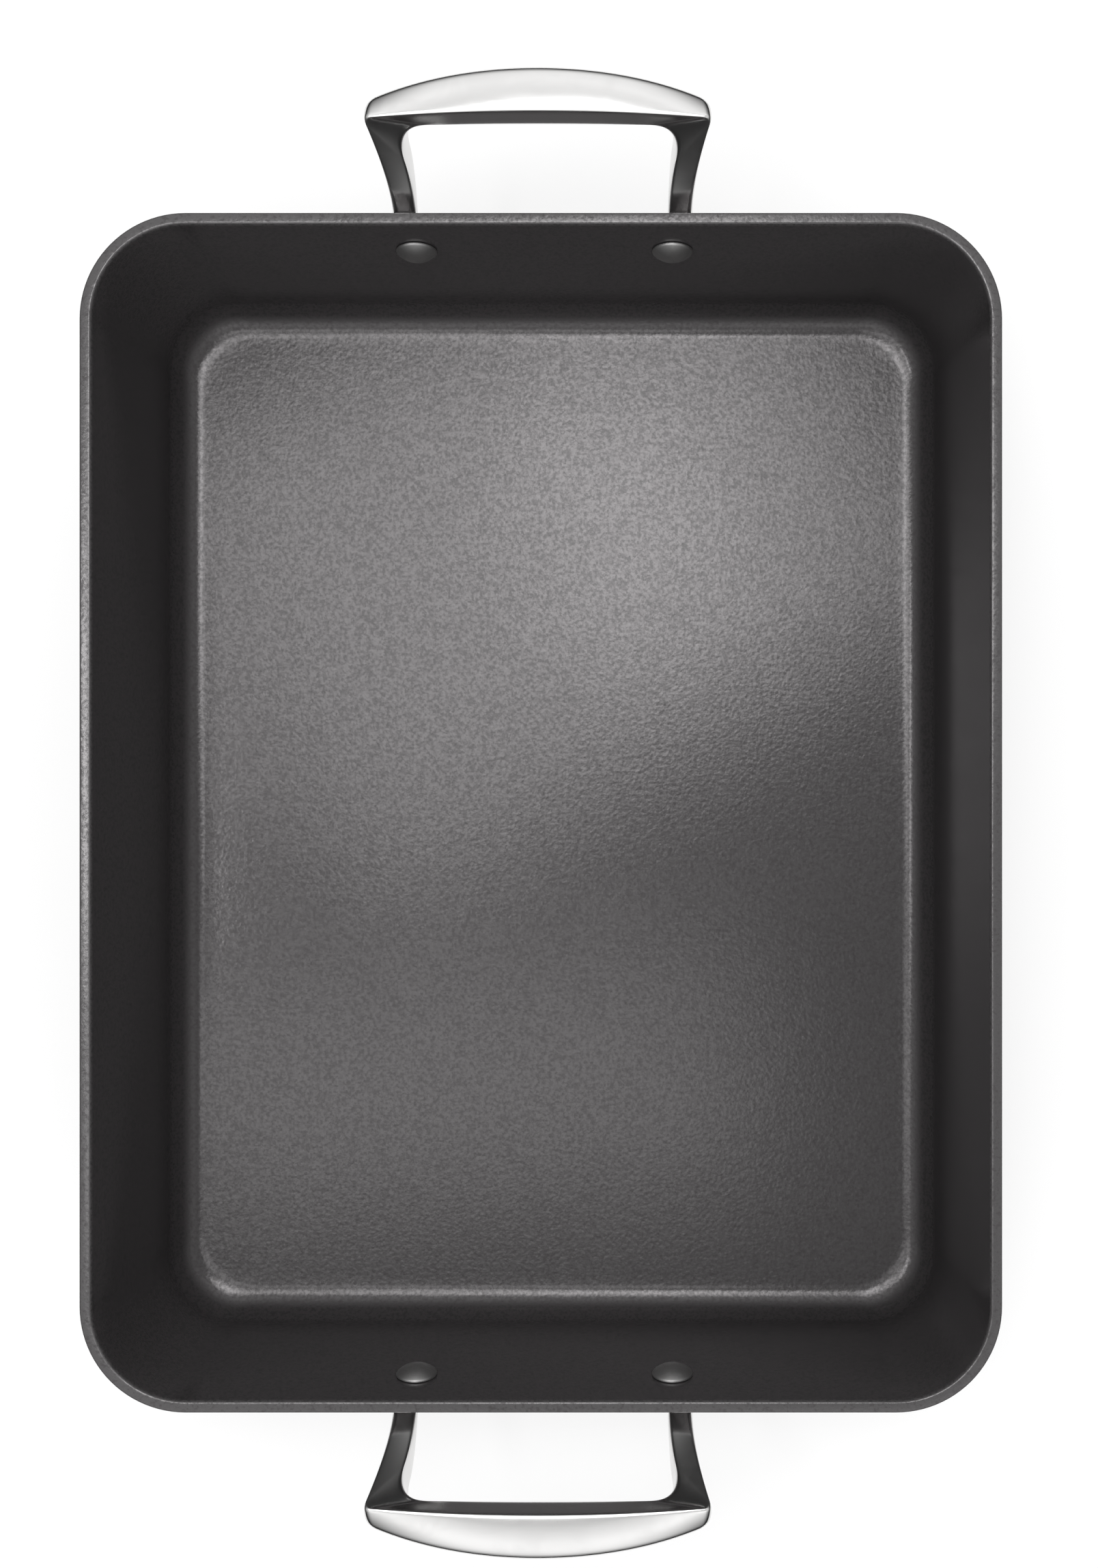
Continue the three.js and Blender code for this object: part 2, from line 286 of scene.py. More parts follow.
@dataclass(frozen=True)
class NodePen:
    """Draws nodes into a tree, each with its settings and the values or links of its inputs."""

    tree: Tree

    def node(self, kind: str, inputs: dict | None = None, **settings: object) -> bpy.types.Node:
        """Adds a node.

        Args:
            kind: Type name of the node.
            inputs: Values or output sockets by the name or number of the node's input.
            **settings: Properties of the node.

        Returns:
            The node.
        """
        made = self.tree.nodes.new(kind)
        for name, value in settings.items():
            setattr(made, name, value)
        for name, value in (inputs or {}).items():
            if isinstance(value, Socket):
                self.tree.links.new(value, made.inputs[name])
            else:
                made.inputs[name].default_value = value
        return made

    def span(
        self, value: Socket, low: float, high: float, to_low: float = 0.0, to_high: float = 1.0
    ) -> Socket:
        """Maps a span of values smoothly onto another.

        Args:
            value: Socket to map.
            low: Value that becomes to_low.
            high: Value that becomes to_high.
            to_low: Start of the new span.
            to_high: End of the new span.

        Returns:
            The mapped socket.
        """
        inputs = {"Value": value, 1: low, 2: high, 3: to_low, 4: to_high}
        made = self.node("ShaderNodeMapRange", inputs, interpolation_type="SMOOTHSTEP")
        return made.outputs["Result"]

    def sum(self, operation: str, first: object, second: object) -> Socket:
        """Works out a sum of two values or sockets with the named operation."""
        made = self.node("ShaderNodeMath", {0: first, 1: second}, operation=operation)
        return made.outputs["Value"]

    def blend(self, share: Socket, first: Colour | Socket, second: Colour) -> Socket:
        """Mixes two colours by a share that changes over the surface."""
        inputs = {"Factor": share, 6: first, 7: second}
        return self.node("ShaderNodeMix", inputs, data_type="RGBA").outputs[2]

    def noise(self, place: Socket, scale: Socket, settings: Noise) -> Socket:
        """Draws a noise pattern.

        Args:
            place: Place on the surface.
            scale: Fineness of the pattern.
            settings: Its other settings.

        Returns:
            The pattern as values from 0 to 1.
        """
        inputs = {"Vector": place, "Scale": scale, "Detail": settings.detail}
        inputs |= {"Roughness": settings.roughness, "Distortion": settings.distortion}
        return self.node("ShaderNodeTexNoise", inputs).outputs["Fac"]

    def effect(self, group: Tree, place: Socket, values: dict) -> bpy.types.NodeOutputs:
        """Places a shared effect with its own values, and gives its outputs."""
        inputs = {"Vector": place, **values}
        return self.node("ShaderNodeGroup", inputs, node_tree=group).outputs

    def surface(self, inputs: dict, height: Socket, depth: float) -> None:
        """Ends a material with its shader and a bump.

        Args:
            inputs: Values or sockets by the name of the shader's input.
            height: Height of the bump over the surface.
            depth: Distance that a height of 1 stands for.
        """
        bump = self.node("ShaderNodeBump", {"Height": height, "Strength": 1.0, "Distance": depth})
        inputs = {**inputs, "Normal": bump.outputs["Normal"]}
        shader = self.node("ShaderNodeBsdfPrincipled", inputs)
        self.node("ShaderNodeOutputMaterial", {"Surface": shader.outputs["BSDF"]})


def new_group(
    name: str, values: Sequence[str], results: Sequence[str]
) -> tuple[Tree, NodePen, bpy.types.NodeOutputs]:
    """Starts a shader node group that reads a place on the surface.

    Args:
        name: Name of the group.
        values: Names of its number inputs, after Vector.
        results: Names of its number outputs.

    Returns:
        The group's tree with its sockets made, a pen for it, and its inputs.
    """
    tree = bpy.data.node_groups.new(name, "ShaderNodeTree")
    tree.interface.new_socket("Vector", in_out="INPUT", socket_type="NodeSocketVector")
    for value in values:
        tree.interface.new_socket(value, in_out="INPUT", socket_type="NodeSocketFloat")
    for result in results:
        tree.interface.new_socket(result, in_out="OUTPUT", socket_type="NodeSocketFloat")
    pen = NodePen(tree)
    return tree, pen, pen.node("NodeGroupInput").outputs


@dataclass
class SurfaceEffects:
    """The effects that more than one finish uses, each made once as a node group."""

    grain: Tree = field(init=False)
    marks: Tree = field(init=False)
    polish: Tree = field(init=False)
    skin: Noise = Noise(1.0, 0.5)
    flakes: Noise = Noise(2.0, 0.65)
    flake_span: Span = (0.34, 0.66)
    flake_power: float = 0.5
    clouds: Noise = Noise(4.0, 0.55, 0.8)
    cloud_span: Span = (0.38, 0.66)
    hair_lines: Noise = Noise(3.0, 0.7)

    def __post_init__(self) -> None:
        """Makes the groups."""
        self.grain = self.make_grain()
        self.marks = self.make_marks()
        self.polish = self.make_polish()

    def make_grain(self) -> Tree:
        """Makes the fine grain of a sprayed or cast skin, and the flecks in it.

        Returns:
            The group.
        """
        scales = ["Scale", "Fleck Scale"]
        tree, pen, given = new_group("fine_grain", scales, ["Height", "Flecks"])
        skin = pen.noise(given["Vector"], given["Scale"], self.skin)
        flakes = pen.noise(given["Vector"], given["Fleck Scale"], self.flakes)
        spread = pen.sum("POWER", pen.span(flakes, *self.flake_span), self.flake_power)
        pen.node("NodeGroupOutput", {"Height": skin, "Flecks": spread})
        return tree

    def make_marks(self) -> Tree:
        """Makes the cloudy marks that wiping and handling leave.

        Returns:
            The group.
        """
        tree, pen, given = new_group("handling_marks", ["Scale"], ["Marks"])
        clouds = pen.noise(given["Vector"], given["Scale"], self.clouds)
        pen.node("NodeGroupOutput", {"Marks": pen.span(clouds, *self.cloud_span)})
        return tree

    def make_polish(self) -> Tree:
        """Makes the hair lines that a polishing wheel leaves along a bar.

        Returns:
            The group.
        """
        tree, pen, given = new_group("polish_lines", ["Scale", "Draw"], ["Lines"])
        drawn = pen.node("ShaderNodeCombineXYZ", {"X": given["Draw"], "Y": 1.0, "Z": 1.0})
        inputs = {0: given["Vector"], 1: drawn.outputs["Vector"]}
        along = pen.node("ShaderNodeVectorMath", inputs, operation="MULTIPLY")
        lines = pen.noise(along.outputs["Vector"], given["Scale"], self.hair_lines)
        pen.node("NodeGroupOutput", {"Lines": lines})
        return tree


def new_material(name: str) -> tuple[bpy.types.Material, NodePen]:
    """Starts a material with an empty node tree.

    Args:
        name: Name of the material.

    Returns:
        The material, and a pen for its tree.
    """
    material = bpy.data.materials.new(name)
    material.use_nodes = True
    material.node_tree.nodes.clear()
    return material, NodePen(material.node_tree)


@dataclass(frozen=True)
class NonStickCoat:
    """Dark satin non-stick coat: fine grain, pale flecks, wiping marks, and a painted highlight on
    the rim.
    """

    name: str = "non_stick_coat"
    colour: Colour = (0.0363, 0.0314, 0.0331, 1)
    fleck_colour: Colour = (0.0745, 0.0712, 0.0723, 1)
    fleck_metal: float = 0.66
    # painted highlight: a paler colour on the rim stands in for the light its top catches
    rim_highlight_colour: Colour = (0.11, 0.106, 0.1075, 1)
    rim_highlight_share: Span = (0.3, 1.0)
    gloss: Span = (0.185, 0.2)
    specular: float = 0.42
    grain_scale: float = 800.0
    grain_depth: float = 0.000034
    fleck_scale: float = 980.0
    mark_scale: float = 14.0
    rim_height: Span = (0.0682, 0.0698)

    def material(self, effects: SurfaceEffects) -> bpy.types.Material:
        """Makes the material.

        Args:
            effects: Shared effects.

        Returns:
            The material.
        """
        material, pen = new_material(self.name)
        place = pen.node("ShaderNodeTexCoord").outputs["Object"]
        scales = {"Scale": self.grain_scale, "Fleck Scale": self.fleck_scale}
        grain = pen.effect(effects.grain, place, scales)
        marks = pen.effect(effects.marks, place, {"Scale": self.mark_scale})["Marks"]
        flecked = pen.blend(grain["Flecks"], self.colour, self.fleck_colour)
        height = pen.node("ShaderNodeSeparateXYZ", {"Vector": place}).outputs["Z"]
        # painted highlight: the rim's top is mixed towards the paler colour, speckled by the flecks
        on_rim = pen.span(height, *self.rim_height)
        specked = pen.span(grain["Flecks"], 0, 1, *self.rim_highlight_share)
        painted_rim_highlight = pen.sum("MULTIPLY", on_rim, specked)
        inputs = {
            "Base Color": pen.blend(painted_rim_highlight, flecked, self.rim_highlight_colour),
            "Metallic": pen.sum("MULTIPLY", grain["Flecks"], self.fleck_metal),
            "Roughness": pen.span(marks, 0, 1, *self.gloss),
            "Specular IOR Level": self.specular,
        }
        pen.surface(inputs, grain["Height"], self.grain_depth)
        return material


@dataclass(frozen=True)
class Steel:
    """Stainless steel: hair lines from polishing, faint marks from handling, and a little grain."""

    name: str
    colour: Colour
    dull_colour: Colour
    gloss: Span
    line_scale: float
    line_draw: float
    line_depth: float
    grain_scale: float
    mark_scale: float
    streak_span: Span = (0.1, 0.6)

    def material(self, effects: SurfaceEffects) -> bpy.types.Material:
        """Makes the material.

        Args:
            effects: Shared effects.

        Returns:
            The material.
        """
        material, pen = new_material(self.name)
        place = pen.node("ShaderNodeTexCoord").outputs["Object"]
        drawn = {"Scale": self.line_scale, "Draw": self.line_draw}
        lines = pen.effect(effects.polish, place, drawn)["Lines"]
        scales = {"Scale": self.grain_scale, "Fleck Scale": self.grain_scale}
        grain = pen.effect(effects.grain, place, scales)["Height"]
        marks = pen.effect(effects.marks, place, {"Scale": self.mark_scale})["Marks"]
        streak = pen.sum("MULTIPLY", lines, marks)
        inputs = {
            "Base Color": pen.blend(marks, self.colour, self.dull_colour),
            "Metallic": 1.0,
            "Roughness": pen.span(streak, *self.streak_span, *self.gloss),
        }
        pen.surface(inputs, pen.sum("ADD", lines, grain), self.line_depth)
        return material


HANDLE_STEEL = Steel(
    name="polished_steel", colour=(0.73, 0.725, 0.72, 1), dull_colour=(0.705, 0.7, 0.695, 1),
    gloss=(0.17, 0.2), line_scale=900.0, line_draw=0.05, line_depth=0.0000012,
    grain_scale=500.0, mark_scale=60.0,
)
RIVET_STEEL = Steel(
    name="rivet_steel", colour=(0.5, 0.495, 0.49, 1), dull_colour=(0.42, 0.417, 0.415, 1),
    gloss=(0.5, 0.56), line_scale=1600.0, line_draw=0.3, line_depth=0.000006,
    grain_scale=1500.0, mark_scale=160.0,
)


# Pan


@dataclass(frozen=True)
class SheetPoint:
    """A point on the middle line of the pressed sheet, with the tilt of the sheet's inner face."""

    inset: float
    height: float
    tilt: float
    corner: float


@dataclass(frozen=True)
class PanShell:
    """The pressed shell: flat floor, fillet, leaning walls and a flat rim with rounded edges."""

    rim_length: float = 351 * MM
    rim_width: float = 270 * MM
    height: float = 70 * MM
    sheet: float = 3.5 * MM
    lean: float = math.radians(8.5)
    rim_corner: float = 31 * MM
    floor_corner: float = 17 * MM
    floor_fillet: float = 10 * MM
    floor_margin: float = 3 * MM
    rim_inner_edge: float = 0.9 * MM
    rim_outer_edge: float = 0.6 * MM
    rim_fall: float = 0.06 * MM
    corner_steps: int = 24
    wall_steps: int = 6
    fillet_steps: int = 20
    rim_steps: int = 10
    crisp: float = math.radians(40)

    @property
    def half_sheet(self) -> float:
        """Half of the sheet's thickness."""
        return self.sheet / 2

    @property
    def rim_inset(self) -> float:
        """Inset of the sheet's middle line at the height where the rim's edges begin."""
        core = self.half_sheet - self.rim_outer_edge
        climb = core * (1 + math.sin(self.lean)) * math.tan(self.lean)
        return self.rim_outer_edge + core * math.cos(self.lean) + climb

    def sheet_line(self) -> list[SheetPoint]:
        """Works out the middle line of the sheet from the rim to the edge of the flat floor.

        Returns:
            Points of the line, from the rim down.
        """
        top = self.height - self.half_sheet
        bend = self.floor_fillet + self.half_sheet
        bend_height = self.sheet + self.floor_fillet
        fall = (top + bend * math.sin(self.lean) - bend_height) / math.cos(self.lean)
        bend_inset = self.rim_inset + fall * math.sin(self.lean) + bend * math.cos(self.lean)
        line = []

        def add(inset: float, height: float, tilt: float) -> None:
            """Adds a point, with the corner radius that the shell has at its inset."""
            share = (inset - self.rim_inset) / (bend_inset - self.rim_inset)
            corner = mix(self.rim_corner - self.rim_inset, self.floor_corner, share)
            line.append(SheetPoint(inset, height, tilt, corner))

        for step in range(self.wall_steps):
            slide = fall * step / self.wall_steps
            inset = self.rim_inset + slide * math.sin(self.lean)
            add(inset, top - slide * math.cos(self.lean), self.lean)
        for step in range(self.fillet_steps + 1):
            tilt = mix(self.lean, math.pi / 2, step / self.fillet_steps)
            inset = bend_inset - bend * math.cos(tilt)
            add(inset, bend_height - bend * math.sin(tilt), tilt)
        return line

    def ring(self, bm: Mesh, point: SheetPoint, tilt: float, away: float) -> Loop:
        """Draws one loop of the shell: a rectangle with rounded corners.

        Args:
            bm: Mesh that takes the loop.
            point: Point of the sheet line that the loop belongs to.
            tilt: Direction square to the sheet.
            away: Distance from the sheet line in that direction.

        Returns:
            The edges of the loop.
        """
        inset = point.inset + away * math.cos(tilt)
        verts = bmesh.ops.create_grid(bm, x_segments=1, y_segments=1, size=1 / 2)["verts"]
        size = (self.rim_width - 2 * inset, self.rim_length - 2 * inset, 1)
        bmesh.ops.scale(bm, vec=size, verts=verts)
        rise = (0, 0, point.height + away * math.sin(tilt))
        bmesh.ops.translate(bm, vec=rise, verts=verts)
        corner = point.corner - away * math.cos(tilt)
        round_off(bm, verts, corner, self.corner_steps, "VERTICES")
        [face] = bm.faces
        edges = list(face.edges)
        bmesh.ops.delete(bm, geom=[face], context="FACES_ONLY")
        return edges

    def rim_rings(self, bm: Mesh, rim: SheetPoint) -> list[Loop]:
        """Draws the rim from the outer to the inner face: a flat top between rounded edges.

        Args:
            bm: Mesh that takes the loops.
            rim: Top of the sheet line.

        Returns:
            The loops in order.
        """
        loops = []
        up, outer_top = math.pi / 2, self.height - self.rim_fall
        turns = (
            (-1, self.rim_outer_edge, outer_top, self.lean + math.pi, up),
            (1, self.rim_inner_edge, self.height, up, self.lean),
        )
        for side, edge, top, begin, finish in turns:
            core = side * (self.half_sheet - edge)
            climb = (abs(core) - core * math.sin(self.lean)) / math.cos(self.lean)
            inset = rim.inset - climb * math.sin(self.lean) + core * math.cos(self.lean)
            centre = SheetPoint(inset, top - edge, self.lean, rim.corner + rim.inset - inset)
            for step in range(self.rim_steps + 1):
                tilt = mix(begin, finish, step / self.rim_steps)
                loops.append(self.ring(bm, centre, tilt, edge))
        return loops

    def wall_place(self, across: float, drop: float) -> Matrix:
        """Finds a rivet's place on the rear wall.

        Args:
            across: Distance from the pan's middle line.
            drop: Distance of the rivet below the rim.

        Returns:
            Matrix with its origin in the middle of the sheet, +Y out of the wall, +Z up the wall.
        """
        inset = self.rim_inset + (drop - self.half_sheet) * math.tan(self.lean)
        spot = Vector((across, self.rim_length / 2 - inset, self.height - drop))
        return Matrix.Translation(spot) @ Matrix.Rotation(-self.lean, 4, "X")

    def build(self, drills: Piece) -> Piece:
        """Builds the shell and drills it for its rivets.

        Args:
            drills: Object that the rivet holes are cut with.

        Returns:
            The shell.
        """
        bm = bmesh.new()
        line = self.sheet_line()
        half = self.half_sheet
        loops = [self.ring(bm, spot, spot.tilt, -half) for spot in reversed(line)]
        loops += self.rim_rings(bm, line[0])
        loops += [self.ring(bm, spot, spot.tilt, half) for spot in line]
        spread_loops(bm, loops, self.height)
        skin_loops(bm, loops)
        spread_loops(bm, loops, -self.height)
        for loop in (loops[0], loops[-1]):
            flat = bmesh.ops.edgeloop_fill(bm, edges=loop)["faces"]
            bmesh.ops.inset_region(bm, faces=flat, thickness=self.floor_margin)
        for axis, length in ((0, self.rim_width), (1, self.rim_length)):
            reach = length / 2 - line[-1].inset - self.floor_corner - self.floor_margin
            for side in (-1, 1):
                square = Vector((0, 0, 0))
                square[axis] = side
                geom = [*bm.verts, *bm.edges, *bm.faces]
                bmesh.ops.bisect_plane(bm, geom=geom, plane_co=square * reach, plane_no=square)
        bmesh.ops.recalc_face_normals(bm, faces=bm.faces)
        fit_box(bm, "pan_body")
        piece = object_from(bm, "pan_shell")
        carve(piece, drills, "DIFFERENCE")
        smooth_shade(piece, self.crisp)
        return piece


# Rivets


@dataclass(frozen=True)
class Rivet:
    """A set rivet: domed head inside the pan, shank through wall and tab, flatter tail outside."""

    spacing: float = 77 * MM
    drop: float = 18.5 * MM
    head_diameter: float = 12.4 * MM
    head_dome: float = 2.6 * MM
    shank_diameter: float = 6 * MM
    tail_diameter: float = 9.6 * MM
    tail_dome: float = 1.9 * MM
    edge: float = 0.5 * MM
    edge_round: float = 0.22 * MM
    merge: float = 0.0022 * MM
    clearance: float = 0.3 * MM
    seat: float = 0.3 * MM
    dome_steps: int = 10
    round_steps: int = 3
    turn_steps: int = 48
    drill_reach: float = 20 * MM
    crisp: float = math.radians(35)

    @staticmethod
    def node(end: End, side: Side) -> str:
        """Names the solid of the rivet on one side of one end."""
        return f"{end.label}_{side.name.lower()}_rivet"

    def place(self, shell: PanShell, side: int) -> Matrix:
        """Finds the rivet's place on the rear wall, on the side -1 or 1."""
        return shell.wall_place(side * self.spacing / 2, self.drop)

    def drills(self, shell: PanShell, ends: Sequence[End]) -> Piece:
        """Makes the drills for the rivet holes of some ends.

        Args:
            shell: Shell that the rivets go through.
            ends: Ends to drill.

        Returns:
            One object with all the drills.
        """
        bm = bmesh.new()
        radius = self.shank_diameter / 2 + self.clearance
        for end in ends:
            for side in (-1, 1):
                lie = Matrix.Rotation(math.pi / 2, 4, "X")
                bmesh.ops.create_cone(
                    bm, cap_ends=True, segments=self.turn_steps, radius1=radius, radius2=radius,
                    depth=self.drill_reach, matrix=end.turn @ self.place(shell, side) @ lie,
                )
        return object_from(bm, "rivet_drills")

    def dome(self, bm: Mesh, radius: float, rise: float, top: float) -> list[bmesh.types.BMVert]:
        """Draws the profile of a shallow dome, from the axis to its edge.

        Args:
            bm: Mesh that takes the profile.
            radius: Radius of the dome's edge.
            rise: Height of the dome.
            top: Height of its top on the axis; the dome falls towards zero.

        Returns:
            The vertices in order, in the plane of X and Z.
        """
        ball = (radius ** 2 + rise ** 2) / (2 * rise)
        way = math.copysign(1, top)
        centre = Vector((0, 0, top - way * ball))
        angle = -way * math.asin(radius / ball)
        return arc(bm, centre, Vector((0, 0, top)), angle, self.dome_steps)

    def build(self, shell: PanShell, end: End, side: Side, tab_front: float) -> Piece:
        """Builds one rivet in its place.

        Args:
            shell: Shell that the rivet goes through.
            end: End that the rivet is at.
            side: Side of the pan that it is on.
            tab_front: Outside of the handle's tab, from the middle of the sheet.

        Returns:
            The rivet.
        """
        bm = bmesh.new()
        head_seat = shell.half_sheet + self.seat
        tail_seat = tab_front + self.seat
        head_top = -(head_seat + self.edge + self.head_dome)
        tail_top = tail_seat + self.edge + self.tail_dome
        head = self.dome(bm, self.head_diameter / 2, self.head_dome, head_top)
        tail = self.dome(bm, self.tail_diameter / 2, self.tail_dome, tail_top)
        corners = (
            (self.head_diameter / 2, -head_seat),
            (self.shank_diameter / 2, -head_seat),
            (self.shank_diameter / 2, tail_seat),
            (self.tail_diameter / 2, tail_seat),
        )
        bend = [bm.verts.new((across, 0, along)) for across, along in corners]
        for pair in pairwise([head[-1], *bend, tail[-1]]):
            bm.edges.new(pair)
        round_off(bm, [head[-1], tail[-1]], self.edge_round, self.round_steps, "VERTICES")
        bmesh.ops.spin(
            bm, geom=[*bm.verts, *bm.edges], cent=(0, 0, 0), axis=(0, 0, 1), angle=math.tau,
            steps=self.turn_steps, use_merge=True,
        )
        bmesh.ops.remove_doubles(bm, verts=bm.verts, dist=self.merge)
        bmesh.ops.recalc_face_normals(bm, faces=bm.faces)
        out = Matrix.Rotation(-math.pi / 2, 4, "X")
        bm.transform(end.turn @ self.place(shell, side.on_wall(end)) @ out)
        node = self.node(end, side)
        fit_box(bm, node)
        piece = object_from(bm, f"{node}_set")
        smooth_shade(piece, self.crisp)
        return piece


# Handles


@dataclass(frozen=True)
class SectionShape:
    """Roundings of a handle's four edges and bulges of its four sides."""

    edges: tuple[float, float, float, float]
    bulges: tuple[float, float, float, float]

    def towards(self, other: "SectionShape", share: float) -> "SectionShape":
        """Mixes this section with another by a share from 0 to 1."""
        edges = tuple(mix(a, b, share) for a, b in zip(self.edges, other.edges))
        bulges = tuple(mix(a, b, share) for a, b in zip(self.bulges, other.bulges))
        return SectionShape(edges, bulges)


@dataclass(frozen=True)
class EdgeRail:
    """One edge of a handle: up from the root of the right leg, round to the middle of the grip."""

    root: Vector
    sweep: float
    bow: float
    corner: Vector
    middle: Vector
    fillet: float

    def at(self, stretch: Stretch, share: float) -> Vector:
        """Finds a point of the edge.

        Args:
            stretch: Stretch that the point is on.
            share: Place along the stretch, from 0 to 1.

        Returns:
            The point.
        """
        climb = self.bow * (self.corner - self.root)
        leg_pull = self.root + Vector((0, self.sweep + climb.y, climb.z))
        grip_pull = Vector((self.corner.x / 2, self.middle.y, self.middle.z))
        bend_start = self.corner + (leg_pull - self.corner).normalized() * self.fillet
        bend_end = self.corner + (grip_pull - self.corner).normalized() * self.fillet
        curves = {
            Stretch.LEG: (self.root, leg_pull, bend_start),
            Stretch.BEND: (bend_start, self.corner, bend_end),
            Stretch.GRIP: (bend_end, grip_pull, self.middle),
        }
        return bezier(curves[stretch], share)


@dataclass(frozen=True)
class LoopHandle:
    """A cast loop handle: two tabs on the wall, two legs that climb outwards, and a bowed grip."""

    shell: PanShell
    rivet: Rivet
    tab_thickness: float = 3 * MM
    tab_land: float = 4.7 * MM
    tab_margin: float = 0.7 * MM
    tab_bevel: float = 0.8 * MM
    root_offset: float = 2.1 * MM
    root_over_tail: float = 1.1 * MM
    root_width: float = 6.6 * MM
    root_height: float = 4.0 * MM
    root_flare: float = 0.6 * MM
    leg_top_width: float = 8.4 * MM
    leg_thickness: float = 9 * MM
    leg_pitch: float = math.radians(44)
    leg_flank: float = 1.6 * MM
    leg_bow: float = 0.3
    upper_sweep: float = 1.5 * MM
    lower_sweep: float = 8 * MM
    reach: float = 37.5 * MM
    span: float = 100 * MM
    grip_depth: float = 13.3 * MM
    tip_depth: float = 5.5 * MM
    tip_fall: float = 2 * MM
    grip_rise: float = 16 * MM
    grip_face: float = 8 * MM
    grip_face_lean: float = 1.5 * MM
    grip_face_end: float = 4 * MM
    grip_face_end_lean: float = 1 * MM
    grip_belly: float = 11 * MM
    grip_belly_out: float = 6.8 * MM
    outer_drop: float = 0.8 * MM
    tip_drop: float = 1 * MM
    crease_bow: float = 1.5 * MM
    gap_fillet: float = 11 * MM
    tip_fillet: float = 2.4 * MM
    outer_fillet: float = 4 * MM
    leg_section: SectionShape = SectionShape(
        (1.3 * MM, 1.1 * MM, 1.6 * MM, 1.8 * MM), (0, 0.4 * MM, 0.8 * MM, 0.2 * MM)
    )
    grip_section: SectionShape = SectionShape(
        (1.5 * MM, 0.9 * MM, 1.6 * MM, 3.4 * MM), (0, 0.45 * MM, 1.8 * MM, 0.6 * MM)
    )
    steps: tuple[int, int, int] = (44, 22, 44)
    side_steps: tuple[int, int, int, int] = (5, 14, 12, 8)
    edge_steps: int = 8
    tab_steps: int = 48
    crown_steps: int = 16
    bevel_steps: int = 4
    even_rounds: int = 3
    even_share: float = 0.5
    crisp: float = math.radians(40)

    @property
    def tab_back(self) -> float:
        """Back of a tab, from the middle of the sheet."""
        return self.shell.half_sheet + self.rivet.seat

    @property
    def tab_front(self) -> float:
        """Front of a tab, from the middle of the sheet."""
        return self.tab_back + self.tab_thickness

    @property
    def tab_radius(self) -> float:
        """Radius of a tab about its rivet."""
        return self.rivet.tail_diameter / 2 + self.tab_land

    @property
    def root_climb(self) -> float:
        """Rivet axis up to the underside of a leg's root."""
        return self.rivet.tail_diameter / 2 + self.root_over_tail

    @property
    def root_top(self) -> float:
        """Rivet axis up to the top of a leg's root."""
        return self.root_climb + self.root_height

    def rim_point(self, across: float, out: float, up: float) -> Vector:
        """Gives a point from the rim of the rear wall: across, outwards and upwards."""
        return Vector((across, self.shell.rim_length / 2 + out, self.shell.height + up))

    def rails(self) -> tuple[EdgeRail, EdgeRail, EdgeRail, EdgeRail]:
        """Lays out the four edges of the right half.

        Returns:
            Foot and crease, which bound the upper face, then outer and under edge.
        """
        place = self.rivet.place(self.shell, 1)
        out = self.tab_back + self.tab_bevel

        def root(side: int, up: float) -> Vector:
            """Gives a corner of the leg's root on the wall."""
            return place @ Vector((self.root_offset + side * self.root_width / 2, out, up))

        crease_out = self.reach - self.grip_depth
        end_out = crease_out - self.crease_bow
        end_up = self.grip_rise - self.tip_drop
        foot_up = end_up - self.grip_face_end
        deep = self.leg_thickness * math.cos(self.leg_pitch)
        back = self.leg_thickness * math.sin(self.leg_pitch)
        tip = self.span / 2
        gap = tip - self.leg_top_width
        foot = EdgeRail(
            root(-1, self.root_top), self.upper_sweep, self.leg_bow,
            self.rim_point(gap, end_out - self.grip_face_end_lean, foot_up),
            self.rim_point(0, crease_out - self.grip_face_lean, self.grip_rise - self.grip_face),
            self.gap_fillet,
        )
        crease = EdgeRail(
            root(1, self.root_top), self.upper_sweep, self.leg_bow,
            self.rim_point(tip, end_out, end_up),
            self.rim_point(0, crease_out, self.grip_rise),
            self.tip_fillet,
        )
        outer = EdgeRail(
            root(1, self.root_climb), self.lower_sweep, self.leg_bow,
            self.rim_point(tip, end_out + self.tip_depth, end_up - self.tip_fall),
            self.rim_point(0, self.reach, self.grip_rise - self.outer_drop),
            self.outer_fillet,
        )
        under = EdgeRail(
            root(-1, self.root_climb), self.lower_sweep, self.leg_bow,
            self.rim_point(gap - self.leg_flank, end_out + back, foot_up - deep),
            self.rim_point(0, crease_out + self.grip_belly_out, self.grip_rise - self.grip_belly),
            self.gap_fillet,
        )
        return foot, crease, outer, under

    def section(self, corners: Sequence[Vector], shape: SectionShape) -> list[Vector]:
        """Draws a cross-section with rounded corners and bulged sides.

        Args:
            corners: The four corners in order.
            shape: Roundings of the corners, and bulges of the sides that follow them.

        Returns:
            Points of the section in order.
        """
        count = len(corners)
        centre = sum(corners, Vector()) / count
        runs = [corners[(i + 1) % count] - corners[i] for i in range(count)]

        def on_side(i: int, share: float) -> Vector:
            """Gives a point on the bulged side that follows a corner."""
            away = corners[i] + runs[i] / 2 - centre
            away = (away - away.project(runs[i])).normalized()
            return corners[i] + runs[i] * share + away * (shape.bulges[i] * hump(share))

        points: list[Vector] = []
        for i in range(count):
            begin = shape.edges[i] / runs[i].length
            finish = 1 - shape.edges[(i + 1) % count] / runs[i].length
            last = 1 - shape.edges[i] / runs[i - 1].length
            rounding = (on_side((i - 1) % count, last), corners[i], on_side(i, begin))
            points += [bezier(rounding, k / self.edge_steps) for k in range(self.edge_steps + 1)]
            steps = self.side_steps[i]
            points += [on_side(i, mix(begin, finish, k / steps)) for k in range(1, steps)]
        return points

